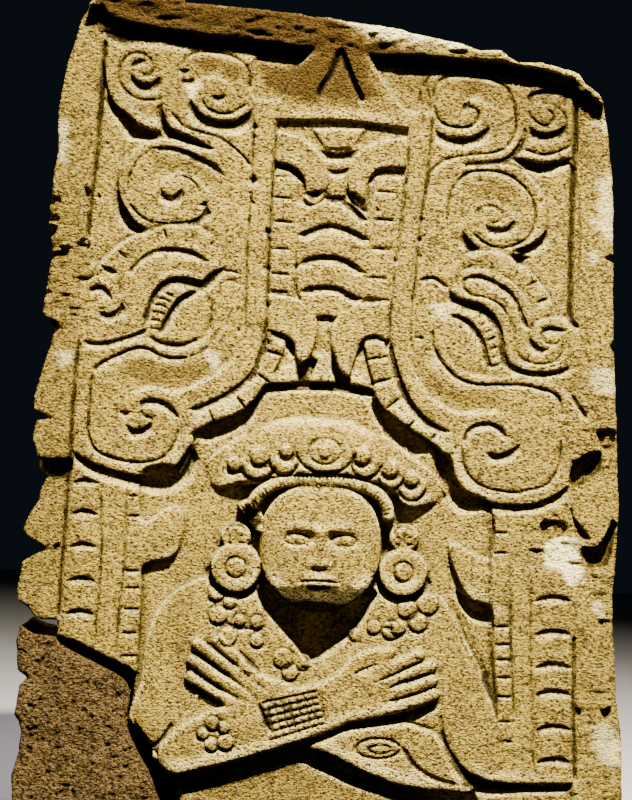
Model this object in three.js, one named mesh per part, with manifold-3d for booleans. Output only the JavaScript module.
// Carved stone stele: a slab with a raised border, a field of scrolls, a framed panel and a
// figure with crossed arms in a niche, and the plain block that fills its broken corner.
// Millimetres, +Z up. The carved face looks along -Y. The origin is under the middle.

import * as THREE from 'three';
import { mergeVertices } from 'three/addons/utils/BufferGeometryUtils.js';
import Module from 'manifold-3d';

const wasm = await Module();
wasm.setup();

// Driving sizes of the slab

const stoneHeight = 1248;
const stoneThickness = 235;

// Rises and depths of the carving, measured from the face that the scrolls share

const borderRise = 18;
const gableRise = 12;
const frameRise = 3;
const nicheDepth = 15;
const hollowDepth = 30;
const panelDepth = 9;
const lineDepth = 4;
const stepDepth = 9;
const pitDepth = 34;
const headRise = 50;
const turbanRise = 34;
const capeRise = 2;
const armRise = 16;
const fingerRise = 14;
const beadRise = 6;
const discRise = 12;

// Sizes of the corner block and of the open joint beside it

const blockSetback = 4;
const seatDepth = 70;
const jointGap = 2;

// The carving plan is a grid of squares, x to the right and y downward, on the leaning stone.
// All shapes of the carving are shares of the stone's height through the size of a square.

const plan = { rows: 832, foot: 832, middleX: 316, middleY: 400, lean: THREE.MathUtils.degToRad(2.3) };
const square = stoneHeight / plan.rows;

// How deep a raised form is set into the stone, and how finely a curve is divided

const buried = 6;
const arcFineness = 0.42;
const nicheFineness = 0.9;
const closedFineness = 1.25;
const fewestSides = 7;

function at([x, y]) {
  const across = x - plan.middleX;
  const down = y - plan.middleY;
  const turnedX = across * Math.cos(plan.lean) + down * Math.sin(plan.lean);
  const turnedY = down * Math.cos(plan.lean) - across * Math.sin(plan.lean);
  return new THREE.Vector2(turnedX * square, (plan.foot - plan.middleY - turnedY) * square);
}

// Points along a smooth curve through the given plan points

function smooth(points, closed = false, fineness = arcFineness) {
  const knots = points.map(at).map((p) => new THREE.Vector3(p.x, p.y, 0));
  if (knots.length < 3) {
    return knots.map((p) => new THREE.Vector2(p.x, p.y));
  }
  const curve = new THREE.CatmullRomCurve3(knots, closed, 'centripetal');
  const squares = curve.getLength() / square;
  const wanted = Math.round(fineness * Math.sqrt(squares) * (closed ? closedFineness : 1));
  const count = Math.max(wanted, closed ? fewestSides : 2);
  const samples = curve.getSpacedPoints(count);
  if (closed) {
    samples.pop();
  }
  return samples.map((p) => new THREE.Vector2(p.x, p.y));
}

// Solids

function solidOf(geometry) {
  geometry.deleteAttribute('normal');
  geometry.deleteAttribute('uv');
  const merged = mergeVertices(geometry, 1e-4);
  const vertProperties = new Float32Array(merged.attributes.position.array);
  const triVerts = new Uint32Array(merged.index.array);
  return new wasm.Manifold(new wasm.Mesh({ numProp: 3, vertProperties, triVerts }));
}

function indexedSolid(vertices, triangles) {
  const geometry = new THREE.BufferGeometry();
  geometry.setAttribute('position', new THREE.Float32BufferAttribute(vertices.flat(), 3));
  geometry.setIndex(triangles.flat());
  return solidOf(geometry);
}

// A flat-topped form between two levels

function plate(outline, low, high) {
  const shape = new THREE.Shape(outline);
  const geometry = new THREE.ExtrudeGeometry(shape, { depth: high - low, bevelEnabled: false });
  geometry.translate(0, 0, low);
  return solidOf(geometry);
}

// A rounded form: its rings shrink towards a centre while they rise from edge to high

function pillow(outline, centre, low, edge, high, rings = 3) {
  const ring = THREE.ShapeUtils.isClockWise(outline) ? [...outline].reverse() : outline;
  const count = ring.length;
  const vertices = ring.map((p) => [p.x, p.y, low]);
  const triangles = [];
  for (let k = 0; k < rings; k++) {
    const angle = (k / rings) * (Math.PI / 2);
    const shrink = Math.cos(angle);
    const level = edge + (high - edge) * Math.sin(angle);
    for (const p of ring) {
      vertices.push([centre.x + (p.x - centre.x) * shrink, centre.y + (p.y - centre.y) * shrink, level]);
    }
  }
  for (let k = 0; k < rings; k++) {
    for (let i = 0; i < count; i++) {
      const next = (i + 1) % count;
      const below = k * count;
      const above = below + count;
      triangles.push([below + i, below + next, above + next], [below + i, above + next, above + i]);
    }
  }
  const foot = vertices.push([centre.x, centre.y, low]) - 1;
  const crown = vertices.push([centre.x, centre.y, high]) - 1;
  const last = rings * count;
  for (let i = 0; i < count; i++) {
    const next = (i + 1) % count;
    triangles.push([foot, next, i], [crown, last + i, last + next]);
  }
  return indexedSolid(vertices, triangles);
}

// A closed strip along a path: each station gets the same number of [offset, level] points

function strip(path, section) {
  const vertices = [];
  const triangles = [];
  const last = path.length - 1;
  path.forEach((point, i) => {
    const before = path[Math.max(i - 1, 0)];
    const after = path[Math.min(i + 1, last)];
    const along = after.clone().sub(before).normalize();
    const right = new THREE.Vector2(along.y, -along.x);
    for (const [offset, level] of section(i / last)) {
      vertices.push([point.x + right.x * offset, point.y + right.y * offset, level]);
    }
  });
  const count = vertices.length / path.length;
  for (let i = 0; i < last; i++) {
    for (let j = 0; j < count; j++) {
      const a = i * count + j;
      const b = i * count + ((j + 1) % count);
      triangles.push([a, b, b + count], [a, b + count, a + count]);
    }
  }
  const end = last * count;
  for (let j = 1; j < count - 1; j++) {
    triangles.push([0, j + 1, j], [end, end + j, end + j + 1]);
  }
  return indexedSolid(vertices, triangles);
}

// A raised ridge with a round back, such as an arm, a finger or a rib

function ridge(points, halfWidth, low, edge, high, taper = 0.6) {
  const path = smooth(points);
  return strip(path, (t) => {
    const end = Math.min(1, taper + Math.min(t, 1 - t) * 6 * (1 - taper));
    const half = halfWidth * square * end;
    const crown = edge + (high - edge) * end;
    const section = [[-half, low]];
    const facets = halfWidth > fingerHalf ? 4 : 3;
    for (let j = 0; j <= facets; j++) {
      const angle = Math.PI - (j / facets) * Math.PI;
      section.push([half * Math.cos(angle), edge + (crown - edge) * Math.sin(angle)]);
    }
    section.push([half, low]);
    return section;
  });
}

// The form that cuts a line. Ramp 0 is a V. Ramp 1 or -1 is a step with a steep wall on the
// path and a slope that runs out to the right or to the left of it.

const lineEnd = 0.35;
const stepWall = 0.6;
const stepFloor = 0.2;

function cutter(points, width, depth, ramp = 0, level = 0) {
  const path = smooth(points);
  const clear = borderRise;
  return strip(path, (t) => {
    const end = Math.min(1, lineEnd + Math.min(t, 1 - t) * 5);
    const wide = width * square * end;
    const floor = level - depth * end;
    const near = ramp === 0 ? -wide / 2 : -stepWall;
    const far = ramp === 0 ? wide / 2 : wide;
    const deep = ramp === 0 ? 0 : wide * stepFloor;
    const section = [[near, level + clear], [near, level], [deep, floor], [far, level],
      [far, level + clear]];
    return ramp < 0 ? section.map(([offset, height]) => [-offset, height]) : section.reverse();
  });
}

function circle(x, y, radius, sides = 14) {
  const centre = at([x, y]);
  const points = [];
  for (let i = 0; i < sides; i++) {
    const angle = (i / sides) * 2 * Math.PI;
    points.push(new THREE.Vector2(
      centre.x + radius * square * Math.cos(angle),
      centre.y + radius * square * Math.sin(angle),
    ));
  }
  return points;
}

// The stone's outline, clockwise from the upper left corner, with its breaks and worn edges

const topEdge = [
  [88, 8], [98, -5], [140, -8], [184, -2], [187, 4], [225, 7], [280, 13], [340, 21], [400, 31],
  [425, 38], [460, 45], [480, 52], [500, 52], [512, 61], [517, 64], [540, 64], [570, 71], [578, 76],
  [585, 86], [598, 96],
];
const rightEdge = [
  [604, 106], [608, 130], [612, 170], [614, 210], [614, 254], [606, 258], [614, 263], [614, 340],
  [610, 346], [615, 352], [617, 420], [619, 515], [616, 560], [613, 600], [614, 640], [617, 700],
  [622, 740], [623, 850],
];
const brokenEdge = [
  [182, 850], [178, 800], [172, 776], [165, 772], [152, 757], [153, 750], [140, 732], [128, 718],
  [133, 690], [136, 674], [128, 667], [100, 655], [75, 642], [57, 635], [57, 620],
];
const leftEdge = [
  [42, 620], [33, 615], [28, 607], [18, 600], [17, 590], [22, 562], [33, 555], [46, 549], [28, 537],
  [23, 530], [26, 520], [38, 500], [39, 490], [46, 478], [36, 470], [36, 452], [32, 436], [37, 420],
  [52, 418], [34, 410], [33, 400], [38, 380], [50, 345], [53, 332], [42, 311], [46, 286], [52, 255],
  [48, 219], [57, 148], [58, 110], [67, 65], [77, 35], [81, 18],
];

// The corner block: its outer side, and its face as worn back from the joint

const blockSide = [
  [14, 850], [10, 775], [18, 752], [18, 722], [13, 715], [18, 685], [25, 678], [17, 670], [15, 640],
  [19, 625], [33, 634], [54, 637],
];
const blockFace = [
  ...blockSide, [62, 645], [100, 666], [115, 674], [126, 684], [130, 697], [126, 720], [135, 750],
  [143, 765], [154, 788], [164, 850],
];
const blockCore = [
  ...blockSide, [75, 644], [100, 657], [127, 669], [134, 675], [131, 690], [126, 719], [138, 733],
  [151, 750], [150, 758], [164, 774], [170, 778], [176, 802], [180, 850],
];

// Fields that are sunk below the face

const niche = [
  [178, 476], [192, 452], [196, 430], [214, 424], [246, 409], [268, 384], [300, 384], [335, 384],
  [366, 390], [386, 410], [414, 430], [450, 454], [456, 480], [476, 498], [490, 506], [490, 560],
  [452, 545], [470, 597], [492, 608], [494, 720], [500, 745], [480, 784], [470, 860], [180, 860],
  [172, 776], [150, 746], [131, 712], [141, 670], [144, 600], [142, 562], [176, 552], [180, 509],
  [144, 512], [143, 470], [176, 466],
];
const lowField = [[430, 796], [476, 784], [572, 784], [575, 860], [400, 860]];
const panel = [[278, 120], [410, 129], [403, 210], [389, 300], [389, 345], [372, 392], [276, 388],
  [267, 325], [270, 220]];
const pits = [
  [[571, 466], [583, 455], [601, 452], [598, 472], [590, 480], [571, 487]],
  [[580, 546], [600, 544], [611, 520], [625, 520], [625, 560], [604, 567], [585, 566]],
  [[596, 431], [625, 424], [625, 450], [603, 452]],
  [[30, 457], [74, 459], [66, 478], [30, 478]],
  [[540, 520], [565, 520], [568, 535], [553, 543], [538, 532]],
  [[82, 242], [89, 228], [89, 249], [74, 245]],
];

// Raised forms on the face

const topBorder = [...topEdge.slice(1), [604, 106], [596, 104], [584, 92], [572, 80], [545, 70], [500, 62],
  [430, 57], [372, 55], [310, 48], [260, 41], [205, 35], [150, 27], [110, 17], [101, 28]];
const gable = [[332, 24], [315, 48], [298, 68], [280, 100], [340, 103], [404, 110], [388, 88], [371, 60],
  [362, 30]];
const gableLines = [[[318, 98], [330, 76], [341, 52]], [[341, 52], [350, 76], [362, 103]]];
const frameBars = [[[255, 99], [345, 103], [433, 113], [431, 129], [410, 128], [345, 120], [255, 119]],
  [[253, 110], [276, 120], [268, 280], [266, 325], [247, 325], [250, 200]],
  [[410, 122], [433, 113], [425, 200], [413, 300], [412, 340], [390, 345], [389, 300], [403, 210]]];

// Lines of the carving: [points, width, depth factor, ramp]. Widths are in squares.

const V = 0;
const R = 1;
const L = -1;
const borderLines = [
  [[[105, 40], [101, 100], [95, 170], [89, 225], [88, 240]], 5, 1, V],
  [[[79, 340], [73, 400], [69, 475], [65, 520], [59, 600], [58, 618]], 5, 1, V],
  [[[576, 95], [576, 130], [573, 190], [571, 280], [572, 322], [579, 328]], 6, 1.4, V],
  [[[571, 395], [580, 412], [588, 420]], 5, 1, V],
  [[[575, 640], [574, 720], [576, 784]], 5, 1, V],
];
const scrollLines = [
  // upper left: two scrolls that meet
  [[[128, 66], [133, 61], [145, 61], [151, 66], [151, 74], [145, 76], [139, 72]], 3, 1, V],
  [[[131, 76], [137, 84], [146, 85], [159, 78]], 10, 1.6, R],
  [[[160, 99], [140, 98], [123, 87], [119, 72], [127, 55], [139, 52], [151, 60], [153, 70]], 3, 1, V],
  [[[110, 95], [117, 106], [127, 114], [135, 122], [148, 129], [162, 131]], 13, 1.8, R],
  [[[107, 92], [103, 72], [106, 55], [114, 43], [126, 38], [142, 40], [158, 49], [166, 58]], 6, 1.6, L],
  [[[166, 60], [176, 50], [190, 46], [220, 46], [243, 50], [256, 63]], 8, 1.6, L],
  [[[181, 68], [192, 54], [210, 52], [232, 56], [246, 66], [250, 84], [250, 99]], 3, 1, V],
  [[[178, 73], [190, 73]], 7, 1.8, V],
  [[[190, 86], [200, 77], [214, 76], [226, 83], [226, 94], [217, 99]], 4, 1, V],
  [[[202, 100], [208, 110], [224, 114], [240, 110], [249, 103]], 4, 1, V],
  [[[192, 101], [197, 113], [208, 118], [224, 121], [240, 117], [250, 111]], 11, 1.8, R],
  [[[160, 101], [162, 116], [171, 127], [186, 135], [200, 141], [213, 147]], 9, 1.8, R],
  [[[172, 112], [183, 126], [206, 134], [228, 143], [250, 164]], 3, 1, V],
  // large left scroll with its stem
  [[[120, 188], [123, 212], [131, 224], [145, 230]], 8, 1.6, R],
  [[[130, 172], [140, 155], [155, 146], [172, 147], [190, 153], [210, 161], [224, 175], [227, 190]],
    4, 1.1, V],
  [[[129, 202], [137, 213], [150, 222], [163, 222], [188, 223], [200, 216], [207, 204]], 4, 1.2, V],
  [[[160, 190], [166, 177], [180, 173], [196, 177], [206, 188], [208, 202]], 3, 0.8, V],
  [[[161, 192], [170, 197], [181, 191]], 9, 1.6, L],
  // left serpent: band, rib, jaw, tongue and eye plate
  [[[96, 268], [110, 250], [128, 238], [148, 229], [170, 226], [196, 225], [214, 236], [224, 254],
    [224, 270]],
    3, 0.8, V],
  [[[103, 266], [116, 273]], 4, 1, V],
  [[[117, 251], [128, 259]], 4, 1, V],
  [[[162, 227], [167, 240]], 4, 1, V],
  [[[216, 238], [209, 247]], 4, 1, V],
  [[[129, 270], [142, 257], [160, 249], [185, 249], [200, 254], [208, 261]], 6, 1.3, R],
  [[[141, 326], [148, 305], [156, 287], [170, 279], [185, 277], [203, 284], [222, 270]], 10, 1.9, R],
  [[[160, 334], [170, 312], [180, 299], [196, 290]], 6, 1.5, L],
  [[[203, 289], [209, 298], [211, 318], [202, 337], [186, 344], [168, 342], [152, 335]], 3, 1, V],
  [[[87, 340], [100, 343], [125, 337], [144, 331]], 6, 1.5, R],
  [[[144, 332], [156, 342], [178, 347], [198, 341], [209, 330], [219, 328]], 4, 0.9, V],
  [[[92, 374], [100, 363], [120, 353], [142, 348], [158, 355], [176, 358], [195, 355], [210, 347]],
    4, 1.3, V],
  [[[88, 291], [97, 286], [107, 289], [114, 300]], 5, 1.2, R],
  [[[120, 300], [117, 312], [108, 317], [98, 311]], 7, 1.4, R],
  // left lower scroll
  [[[92, 374], [90, 400], [90, 432], [98, 450], [120, 460], [146, 462], [166, 455], [176, 440], [177, 428]],
    4, 1.1, V],
  [[[119, 404], [126, 393], [142, 387], [172, 390], [205, 378], [232, 358], [245, 345]], 5, 1.2, L],
  [[[138, 406], [144, 399], [158, 398], [172, 406], [179, 418]], 5, 1.2, R],
  [[[127, 424], [137, 428], [151, 424]], 9, 1.6, R],
  // upper right scrolls
  [[[438, 90], [447, 77], [470, 74], [495, 79], [511, 92], [516, 112], [515, 134], [507, 149]], 5, 1.3, L],
  [[[507, 149], [480, 155], [455, 156], [435, 165], [427, 182], [424, 210]], 3, 1, V],
  [[[514, 153], [505, 158], [485, 162], [465, 163]], 6, 1.3, L],
  [[[434, 100], [436, 114], [443, 124], [458, 128], [472, 125], [480, 117], [473, 109], [462, 111]],
    4, 1, V],
  [[[437, 130], [448, 136], [466, 136], [481, 131], [489, 126]], 10, 1.7, R],
  [[[462, 103], [478, 99], [489, 105], [490, 124]], 4, 1, V],
  [[[527, 104], [533, 95], [548, 90], [566, 91], [575, 99]], 8, 1.4, L],
  [[[528, 107], [533, 119], [544, 125], [553, 121], [552, 112]], 3, 1, V],
  [[[540, 104], [556, 106], [566, 116]], 5, 1, V],
  [[[531, 129], [544, 132], [556, 131], [565, 127]], 8, 1.5, R],
  [[[513, 158], [527, 164], [545, 167], [571, 160]], 7, 1.6, R],
  [[[523, 151], [542, 156], [560, 152], [571, 146]], 3, 0.9, V],
  // right middle scroll
  [[[447, 215], [452, 193], [466, 177], [484, 172], [505, 175], [524, 187], [534, 206], [536, 225],
    [528, 240],
    [512, 246], [496, 246], [477, 236]], 4, 1.1, V],
  [[[465, 167], [490, 163], [512, 163], [530, 173], [543, 192]], 4, 1, V],
  [[[465, 222], [468, 209], [482, 201], [500, 201], [513, 209], [516, 220], [509, 228], [498, 231],
    [488, 227]],
    4, 1.2, V],
  [[[477, 213], [488, 206], [500, 209], [503, 217], [492, 222]], 3, 0.9, V],
  [[[465, 235], [471, 245], [481, 250]], 7, 1.6, R],
  [[[544, 232], [536, 241], [522, 249], [510, 252]], 8, 1.7, L],
  [[[517, 260], [528, 262]], 10, 2.4, V],
  // right serpent
  [[[455, 262], [470, 252], [490, 250], [510, 254], [530, 270], [548, 294], [558, 316]], 3, 0.7, V],
  [[[512, 279], [519, 269]], 3, 0.9, V],
  [[[527, 286], [537, 280]], 3, 0.9, V],
  [[[536, 303], [549, 298]], 4, 1, V],
  [[[464, 279], [476, 275], [494, 280], [508, 290], [520, 306], [528, 328]], 5, 1.3, R],
  [[[463, 282], [466, 291], [490, 299], [505, 313], [514, 326], [517, 350], [530, 363], [550, 363],
    [562, 352],
    [564, 340]], 3, 0.9, V],
  [[[450, 291], [464, 298], [484, 304], [497, 316], [505, 337], [509, 356], [522, 368], [545, 372],
    [570, 368]],
    8, 1.8, R],
  [[[453, 314], [468, 318], [480, 328], [487, 345], [489, 368]], 6, 1.5, L],
  [[[434, 318], [432, 338], [438, 356], [452, 373], [474, 384], [520, 386], [545, 390], [558, 398],
    [562, 412],
    [556, 424], [548, 429]], 4, 1.2, V],
  [[[531, 344], [536, 350], [546, 351]], 6, 1.4, V],
  [[[529, 338], [530, 327], [541, 318], [565, 317]], 4, 0.9, V],
  [[[541, 331], [553, 329], [563, 334]], 5, 1.2, R],
  [[[420, 278], [434, 277], [449, 286]], 4, 1, V],
  // right lower scroll
  [[[462, 443], [466, 430], [478, 423], [494, 424], [506, 432], [508, 438]], 5, 1.2, R],
  [[[489, 454], [503, 453], [519, 447]], 9, 1.6, R],
  [[[452, 436], [462, 419], [480, 412], [503, 414], [517, 428], [520, 446]], 3, 0.8, V],
  [[[463, 446], [464, 462], [472, 479], [490, 488], [512, 493], [535, 490], [552, 482], [560, 462],
    [562, 432]],
    4, 1.1, V],
];

// Big stepped shadows: the lower edges of the scrolls and bands beside the niche

const undercuts = [
  [[[76, 455], [92, 462], [118, 471], [148, 474], [174, 466], [190, 446]], 12, 14, R],
  [[[456, 486], [478, 499], [505, 504], [535, 503], [558, 492]], 8, 12, R],
  [[[192, 409], [212, 403], [234, 391], [252, 373], [258, 356], [268, 334]], 9, 9, R],
  [[[391, 346], [398, 374], [410, 402], [428, 420], [452, 433]], 8, 9, R],
];

// Panel: two hooked forms above, scales between, a curled pair and pendants below

const panelForms = [
  [[276, 131], [300, 136], [318, 147], [328, 165], [326, 190], [314, 205], [300, 196], [303, 180],
    [290, 167], [275, 163]],
  [[409, 138], [380, 139], [361, 147], [351, 160], [346, 188], [358, 210], [366, 196], [369, 181],
    [380, 170], [404, 169]],
  [[270, 294], [295, 298], [316, 318], [314, 345], [304, 366], [292, 348], [284, 336], [268, 331]],
  [[389, 302], [360, 303], [336, 320], [332, 352], [346, 378], [356, 356], [364, 342], [390, 338]],
  [[297, 367], [318, 352], [330, 352], [336, 384], [311, 383]],
  [[281, 368], [293, 365], [297, 388], [276, 388]],
  [[350, 372], [362, 375], [369, 392], [350, 390]],
];
const scaleRows = [
  [[327, 199], [342, 200], [354, 208], [366, 220]],
  [[299, 234], [320, 227], [334, 225], [352, 230], [367, 238]],
  [[299, 263], [315, 257], [335, 257], [352, 262], [365, 271]],
  [[299, 291], [318, 287], [335, 288], [350, 294], [360, 297]],
];
const scaleBack = [[298, 200], [330, 196], [350, 200], [370, 222], [366, 300], [330, 318], [300, 298]];
const panelColumns = [
  [[[272, 178], [297, 178], [295, 296], [268, 292]], [176, 197, 221, 248, 273], 274, 295],
  [[[375, 182], [404, 180], [390, 300], [366, 296]], [191, 219, 248, 277], 374, 398],
];

// Segmented bands that run down beside the niche

const bands = [
  { path: [[276, 336], [272, 352], [260, 374], [244, 391], [222, 406], [194, 420]], half: 11,
    cuts: [0.16, 0.36, 0.58, 0.82] },
  { path: [[374, 342], [377, 356], [384, 381], [396, 403], [414, 424], [450, 446]], half: 11,
    cuts: [0.14, 0.34, 0.54, 0.72, 0.88] },
];

// Columns at the lower sides: [left, right, top, bottom, cuts] with arched or straight cuts

const columns = [
  { left: 71, right: 97, lean: -4, cuts: [480, 511, 544, 578, 611], arch: 5 },
  { left: 129, right: 140, lean: -3, cuts: [496, 516, 535, 571, 588, 609, 633, 656], arch: 0 },
  { left: 493, right: 508, lean: 3, cuts: [533, 627, 645, 660, 678, 697, 722, 742], arch: 0 },
  { left: 538, right: 571, lean: 0, cuts: [598, 632, 665, 692, 727, 760], arch: 6 },
];
const columnLines = [
  [[101, 500], [100, 560], [96, 640]],
  [[127, 490], [124, 560], [118, 655]],
  [[511, 610], [512, 680], [514, 745]],
  [[531, 560], [531, 640], [533, 770]],
  [[142, 565], [140, 610], [137, 668]],
];

// Leaf hooks that lean from the columns into the niche

const hooks = [
  [[126, 536], [150, 520], [172, 506], [180, 510], [177, 536], [172, 551], [152, 562], [124, 570]],
  [[452, 545], [478, 556], [512, 560], [512, 607], [494, 608], [470, 597], [456, 574]],
];

// Figure: turban, head, ear ornaments, cape, collar, arms and hands

const turbanBack = [[262, 398], [276, 392], [330, 389], [366, 398], [380, 430], [300, 424], [252, 428]];
const turban = [
  [206, 470], [214, 454], [240, 435], [262, 424], [300, 417], [350, 421], [385, 436], [405, 450],
    [435, 475], [448, 496], [425, 507], [404, 505], [396, 490], [368, 480], [340, 475], [300, 474],
    [268, 478],
  [245, 483], [216, 490],
];
const turbanCrown = [322, 462];
const turbanLevels = { back: -3, edge: -6, crown: turbanRise - 8, fallAtSide: 18, halfWidth: 110 };
const scallopLevels = { edge: turbanRise - 9, top: turbanRise - 4 };
const knobLevel = turbanRise - 6;
const scallops = [[226, 468, 15, 13], [258, 464, 18, 16], [284, 459, 14, 16], [326, 449, 29, 24],
  [366, 462, 15, 16], [391, 475, 13, 15], [412, 490, 14, 13]];
const knobs = [[235, 463, 7], [260, 455, 9], [287, 450, 6], [325, 450, 9], [362, 455, 7], [390, 468, 7],
  [411, 478, 7]];
const headband = { path: [[250, 508], [262, 491], [285, 480], [318, 477], [352, 480], [375, 489],
  [388, 506]],
  half: 6, edge: 8, top: 24 };
const head = { x: 320, y: 545, halfWidth: 60, halfHeight: 66 };
const ears = [{ x: 237, y: 567, radius: 25, loop: 536 }, { x: 403, y: 572, radius: 24, loop: 538 }];
const earLoop = { radius: 14, edge: 4 };
const studShare = 0.45;
const cape = [
  { outline: [[262, 582], [225, 578], [200, 577], [174, 590], [152, 622], [141, 680], [130, 714],
    [150, 746],
    [172, 777], [240, 762], [300, 740], [322, 700], [312, 661], [290, 640]], centre: [232, 672] },
  { outline: [[374, 584], [405, 580], [440, 598], [466, 640], [484, 684], [498, 730], [510, 760],
    [470, 790],
    [440, 742], [400, 720], [350, 718], [312, 700], [314, 661], [350, 640]], centre: [402, 664] },
];
const capeHem = [[446, 600], [462, 640], [476, 672], [494, 704]];
const skirtLine = [[442, 720], [448, 744], [464, 768], [490, 782]];
const throat = [[262, 590], [266, 612], [312, 661], [340, 645], [374, 600], [374, 590], [320, 585]];
const torso = { outline: [[186, 792], [240, 774], [262, 770], [296, 763], [330, 778], [398, 800],
  [430, 850],
  [186, 850]], centre: [300, 825], edge: -26, top: -6 };
const armHollow = [[172, 778], [245, 762], [300, 741], [330, 748], [400, 786], [474, 794], [476, 812],
  [398, 802], [330, 780], [296, 764], [262, 770], [186, 793]];
const frontArm = { path: [[172, 748], [210, 738], [260, 724], [310, 712], [355, 696], [392, 684]],
  half: 25 };
const rearArm = { path: [[460, 776], [428, 764], [396, 752], [362, 742], [334, 736]], half: 20 };
const leftHand = [
  [[268, 700], [244, 676], [214, 652], [201, 642]],
  [[262, 706], [232, 682], [204, 661], [192, 652]],
  [[252, 710], [226, 692], [204, 678], [190, 668]],
  [[242, 712], [220, 702], [204, 692], [192, 686]],
  [[282, 694], [262, 674], [244, 654], [237, 646]],
];
const rightHand = [
  [[352, 690], [384, 672], [410, 660], [421, 656]],
  [[356, 698], [390, 684], [418, 672], [431, 667]],
  [[360, 706], [392, 696], [420, 686], [432, 681]],
  [[364, 712], [394, 706], [420, 698], [434, 693]],
  [[340, 690], [352, 668], [372, 656], [386, 654]],
];
const fingerHalf = 6.5;
const wristband = { corners: [[259, 703], [318, 692], [326, 722], [268, 738]], rows: 2, columns: 4 };
const beads = [[216, 593, 8], [230, 601, 7], [218, 615, 9], [228, 636, 9], [257, 640, 7], [283, 658, 10],
  [303, 663, 7], [374, 627, 7], [391, 630, 9], [407, 609, 9], [428, 604, 10], [418, 622, 9], [398, 627, 7],
  [203, 732, 6], [212, 743, 7], [226, 741, 8], [213, 722, 7]];

// Widths in squares and levels in millimetres of the lines and small forms

const thinLine = 3.5;
const wideLine = 4;
const scaleStep = 8;
const gridLine = 3;
const skirtStep = 7;
const gableLine = 5;
const bandRise = 1;
const bandBevel = 3;
const columnHead = 480;
const columnRun = 130;
const columnCutDepth = lineDepth * 1.3;
const columnLineDepth = lineDepth * 0.8;
const gridDepth = lineDepth + 2;
const hemLevel = -6;
const skirtLevel = -2;
const hookLevels = { edge: -2, top: 4 };
const capeEdge = 6 - nicheDepth;

// Forms

const flatForms = [];
const cuts = [];

function addLines(list, unit) {
  for (const [points, width, factor, ramp] of list) {
    cuts.push(cutter(points, width, factor * unit, ramp));
  }
}

function addPanel() {
  for (const form of panelForms) {
    flatForms.push(plate(smooth(form, true), -panelDepth - buried, 0));
  }
  flatForms.push(plate(smooth(scaleBack, true), -panelDepth - buried, -1));
  for (const row of scaleRows) {
    cuts.push(cutter(row, scaleStep, stepDepth, 1, 0));
  }
  for (const [outline, rows, left, right] of panelColumns) {
    flatForms.push(plate(outline.map(at), -panelDepth - buried, 0));
    for (const row of rows) {
      cuts.push(cutter([[left - 2, row], [right, row + 2]], thinLine, lineDepth));
    }
  }
}

function addBands() {
  for (const band of bands) {
    const route = smooth(band.path);
    const half = band.half * square;
    const low = -nicheDepth - buried;
    const flat = half - bandBevel;
    const shoulder = bandRise - bandBevel;
    const section = [[-half, low], [-half, shoulder], [-flat, bandRise], [flat, bandRise], [half, shoulder],
      [half, low]];
    flatForms.push(strip(route, () => section));
    for (const share of band.cuts) {
      const place = share * (band.path.length - 1);
      const index = Math.floor(place);
      const from = new THREE.Vector2(...band.path[index]);
      const to = new THREE.Vector2(...band.path[index + 1]);
      const middle = from.clone().lerp(to, place - index);
      const along = to.sub(from).normalize();
      const reach = band.half + 1;
      const start = [middle.x - along.y * reach, middle.y + along.x * reach];
      const end = [middle.x + along.y * reach, middle.y - along.x * reach];
      cuts.push(cutter([start, end], thinLine, lineDepth, 0, bandRise));
    }
  }
}

function addColumns() {
  for (const column of columns) {
    for (const row of column.cuts) {
      const shift = (column.lean * (row - columnHead)) / columnRun;
      const middle = [(column.left + column.right) / 2 + shift, row - column.arch];
      const ends = [[column.left + shift, row + column.arch / 2],
        [column.right + shift, row + column.arch / 2]];
      const points = column.arch ? [ends[0], middle, ends[1]] : ends;
      cuts.push(cutter(points, wideLine, columnCutDepth, column.arch ? 1 : 0));
    }
  }
  for (const line of columnLines) {
    cuts.push(cutter(line, thinLine, columnLineDepth));
  }
}

function ovalOutline(x, y, halfWidth, halfHeight, sides) {
  const centre = at([x, y]);
  const points = [];
  for (let i = 0; i < sides; i++) {
    const angle = (i / sides) * 2 * Math.PI;
    const sideways = halfWidth * square * Math.cos(angle);
    const upward = halfHeight * square * Math.sin(angle);
    points.push(new THREE.Vector2(centre.x + sideways, centre.y + upward));
  }
  return points;
}

// The head is an egg with brow, nose, eyes, lips and chin on ordinary thirds of its height

const skinLevel = headRise - 6;
const noseLevel = headRise + 6;
const jawShare = 0.16;
const lidShare = { wide: 0.19, tall: 0.085 };
const lips = [{ share: -0.41, wide: 0.3, tall: 0.055 }, { share: -0.52, wide: 0.26, tall: 0.065 }];

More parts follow.
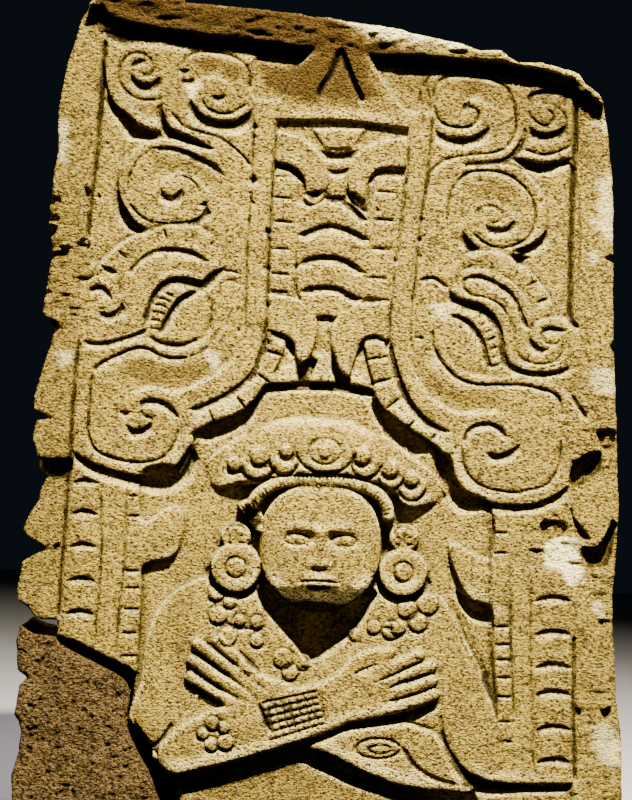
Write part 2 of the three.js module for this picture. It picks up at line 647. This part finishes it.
function headForms() {
  const low = -nicheDepth - buried;
  const middle = at([head.x, head.y]);
  const wide = head.halfWidth * square;
  const tall = head.halfHeight * square;
  const outline = [];
  const sides = 22;
  for (let i = 0; i < sides; i++) {
    const angle = (i / sides) * 2 * Math.PI;
    const jaw = Math.sin(angle) < 0 ? 1 - jawShare * Math.sin(angle) ** 2 : 1;
    const sideways = wide * jaw * Math.cos(angle);
    outline.push(new THREE.Vector2(middle.x + sideways, middle.y + tall * Math.sin(angle)));
  }
  const face = (share, side, level) => [middle.x + side * wide, middle.y + share * tall, level];
  const skin = skinLevel;
  const forms = [pillow(outline, middle, low, -2, skin, 4)];
  const wedge = (corners, tip) => indexedSolid(
    [...corners, ...corners.map((c) => [c[0], c[1], 0]), tip],
    fanWedge(corners.length),
  );
  const nose = [face(0.34, -0.09, skin - 6), face(-0.2, -0.24, skin - 8), face(-0.2, 0.24, skin - 8),
    face(0.34, 0.09, skin - 6)];
  forms.push(wedge(nose, face(-0.13, 0, noseLevel)));
  for (const side of [-1, 1]) {
    const eye = new THREE.Vector2(...face(0.24, side * 0.44, 0));
    const lid = [];
    for (let i = 0; i < 10; i++) {
      const angle = (i / 10) * 2 * Math.PI;
      lid.push(new THREE.Vector2(
        eye.x + wide * lidShare.wide * Math.cos(angle),
        eye.y + tall * lidShare.tall * Math.sin(angle),
      ));
    }
    forms.push(pillow(lid, eye, 0, skin - 9, skin - 3, 2));
  }
  for (const line of lips) {
    const centre = new THREE.Vector2(...face(line.share, 0, 0));
    const lip = [];
    for (let i = 0; i < 12; i++) {
      const angle = (i / 12) * 2 * Math.PI;
      lip.push(new THREE.Vector2(
        centre.x + wide * line.wide * Math.cos(angle),
        centre.y + tall * line.tall * Math.sin(angle),
      ));
    }
    forms.push(pillow(lip, centre, 0, skin - 14, skin + 2, 2));
  }
  return forms;
}

function fanWedge(count) {
  const triangles = [];
  const tip = count * 2;
  for (let i = 0; i < count; i++) {
    const next = (i + 1) % count;
    triangles.push([i, next, tip], [count + i, count + next, next], [count + i, next, i]);
  }
  for (let i = 1; i < count - 1; i++) {
    triangles.push([count, count + i + 1, count + i]);
  }
  return triangles;
}

function addFigure() {
  const low = -nicheDepth - buried;
  const { back, edge, crown, fallAtSide, halfWidth: reach } = turbanLevels;
  const fall = (x) => fallAtSide * ((x - turbanCrown[0]) / reach) ** 2;
  flatForms.push(plate(smooth(turbanBack, true), low, back));
  flatForms.push(pillow(smooth(turban, true), at(turbanCrown), low, edge, crown, 4));
  for (const [x, y, halfWidth, halfHeight] of scallops) {
    const outline = ovalOutline(x, y, halfWidth, halfHeight, 10);
    const sunk = fall(x);
    const levels = [scallopLevels.edge - sunk, scallopLevels.top - sunk];
    flatForms.push(pillow(outline, at([x, y]), low, ...levels, 1));
  }
  for (const [x, y, radius] of knobs) {
    const top = knobLevel + beadRise - fall(x);
    flatForms.push(pillow(circle(x, y, radius, 7), at([x, y]), low, top - beadRise / 2, top, 1));
  }
  flatForms.push(ridge(headband.path, headband.half, low, headband.edge, headband.top, 0.5));
  flatForms.push(...headForms());
  for (const ear of ears) {
    flatForms.push(plate(circle(ear.x, ear.y, ear.radius, 16), low, discRise - 3));
    const stud = circle(ear.x, ear.y, ear.radius * studShare, 10);
    flatForms.push(pillow(stud, at([ear.x, ear.y]), 0, discRise, discRise + 4, 1));
    const loop = circle(ear.x, ear.loop, earLoop.radius, 10);
    flatForms.push(pillow(loop, at([ear.x, ear.loop]), low, earLoop.edge, discRise, 1));
  }
  for (const { outline, centre } of cape) {
    flatForms.push(pillow(smooth(outline, true), at(centre), low, capeEdge, capeRise, 2));
  }
  const chest = smooth(torso.outline, true);
  flatForms.push(pillow(chest, at(torso.centre), -hollowDepth - buried, torso.edge, torso.top, 3));
  cuts.push(cutter(capeHem, wideLine, lineDepth, 0, hemLevel));
  cuts.push(cutter(skirtLine, skirtStep, stepDepth, 1, skirtLevel));
}

function addArms() {
  const low = -hollowDepth;
  flatForms.push(ridge(rearArm.path, rearArm.half, low, -8, armRise - 6, 0.7));
  flatForms.push(ridge(frontArm.path, frontArm.half, low, -6, armRise, 0.75));
  for (const hand of [leftHand, rightHand]) {
    hand.forEach((finger, i) => {
      const lift = i === 4 ? 1 : 0;
      flatForms.push(ridge(finger, fingerHalf, low, 0, fingerRise + lift, 0.7));
    });
  }
  for (const [x, y, radius] of beads) {
    const top = capeRise + beadRise;
    flatForms.push(pillow(circle(x, y, radius, 7), at([x, y]), low, capeRise + beadRise / 2, top, 1));
  }
  const [a, b, c, d] = wristband.corners;
  const mix = (p, q, t) => [p[0] + (q[0] - p[0]) * t, p[1] + (q[1] - p[1]) * t];
  for (let i = 0; i <= wristband.rows; i++) {
    const t = i / wristband.rows;
    cuts.push(cutter([mix(a, d, t), mix(b, c, t)], gridLine, gridDepth, 0, armRise));
  }
  for (let i = 0; i <= wristband.columns; i++) {
    const t = i / wristband.columns;
    cuts.push(cutter([mix(a, b, t), mix(d, c, t)], gridLine, gridDepth, 0, armRise));
  }
}

function aboveFoot(solid) {
  const reach = 2 * stoneHeight;
  const geometry = new THREE.BoxGeometry(reach, reach, reach);
  geometry.translate(0, -reach / 2, 0);
  return solid.subtract(solidOf(geometry));
}

function carvedStone() {
  const outline = [...topEdge, ...rightEdge, ...brokenEdge, ...leftEdge];
  const clear = borderRise + 1;
  let body = plate(outline.map(at), -stoneThickness, 0);
  const sunk = [
    plate(smooth(niche, true, nicheFineness), -nicheDepth, clear),
    plate(panel.map(at), -panelDepth, clear),
    plate(lowField.map(at), -nicheDepth - 4, clear),
    plate(smooth(throat, true), -hollowDepth, clear),
    plate(smooth(armHollow, true), -hollowDepth, clear),
    ...pits.map((pit) => plate(pit.map(at), -pitDepth, clear)),
  ];
  body = body.subtract(wasm.Manifold.union(sunk));
  flatForms.push(plate(topBorder.map(at), -buried, borderRise));
  flatForms.push(plate(gable.map(at), -buried, gableRise));
  for (const bar of frameBars) {
    flatForms.push(plate(bar.map(at), -buried, frameRise));
  }
  for (const hook of hooks) {
    const centre = hook.reduce((sum, p) => sum.add(at(p)), new THREE.Vector2()).divideScalar(hook.length);
    const low = -nicheDepth - buried;
    flatForms.push(pillow(smooth(hook, true), centre, low, hookLevels.edge, hookLevels.top, 2));
  }
  addPanel();
  addBands();
  addFigure();
  addArms();
  body = body.add(wasm.Manifold.union(flatForms));
  for (const line of gableLines) {
    cuts.push(cutter(line, gableLine, stepDepth, 0, gableRise));
  }
  addLines(borderLines, lineDepth);
  addLines(scrollLines, lineDepth);
  addLines(undercuts, 1);
  addColumns();
  body = body.subtract(wasm.Manifold.union(cuts));
  return aboveFoot(body);
}

// The points of a line moved to its left by a distance

function beside(line, distance) {
  return line.map((point, i) => {
    const before = line[Math.max(i - 1, 0)];
    const after = line[Math.min(i + 1, line.length - 1)];
    const along = after.clone().sub(before).normalize();
    return new THREE.Vector2(point.x - along.y * distance, point.y + along.x * distance);
  });
}

// The block's face is worn back from the joint. Its core follows the stone's broken edge.

function cornerBlock() {
  const joint = beside(brokenEdge.slice(0, -1).map(at), jointGap).reverse();
  const face = plate(blockFace.map(at), -seatDepth, -blockSetback);
  const core = plate([...blockSide.map(at), ...joint], -stoneThickness, -seatDepth + buried);
  return aboveFoot(face.add(core));
}

// Turns a solid into a mesh that stands up, with its face along -Y

function meshOf(name, solid, shift, colour, roughness) {
  const { vertProperties, triVerts, numProp } = solid.getMesh();
  const geometry = new THREE.BufferGeometry();
  const positions = [];
  for (let i = 0; i < vertProperties.length; i += numProp) {
    positions.push(vertProperties[i] + shift.x, -vertProperties[i + 2] + shift.y, vertProperties[i + 1]);
  }
  geometry.setAttribute('position', new THREE.Float32BufferAttribute(positions, 3));
  geometry.setIndex([...triVerts]);
  geometry.computeVertexNormals();
  const material = new THREE.MeshStandardMaterial({ color: colour, roughness, metalness: 0 });
  const mesh = new THREE.Mesh(geometry, material);
  mesh.name = name;
  return mesh;
}

const stone = carvedStone();
const block = cornerBlock();
const box = stone.add(block).boundingBox();
const shift = {
  x: -(box.min[0] + box.max[0]) / 2,
  y: (box.min[2] + box.max[2]) / 2,
};

const stele = new THREE.Group();
stele.add(meshOf('carved_stone', stone, shift, 0xb99f68, 0.92));
stele.add(meshOf('corner_block', block, shift, 0x6f5430, 0.95));

export default stele;
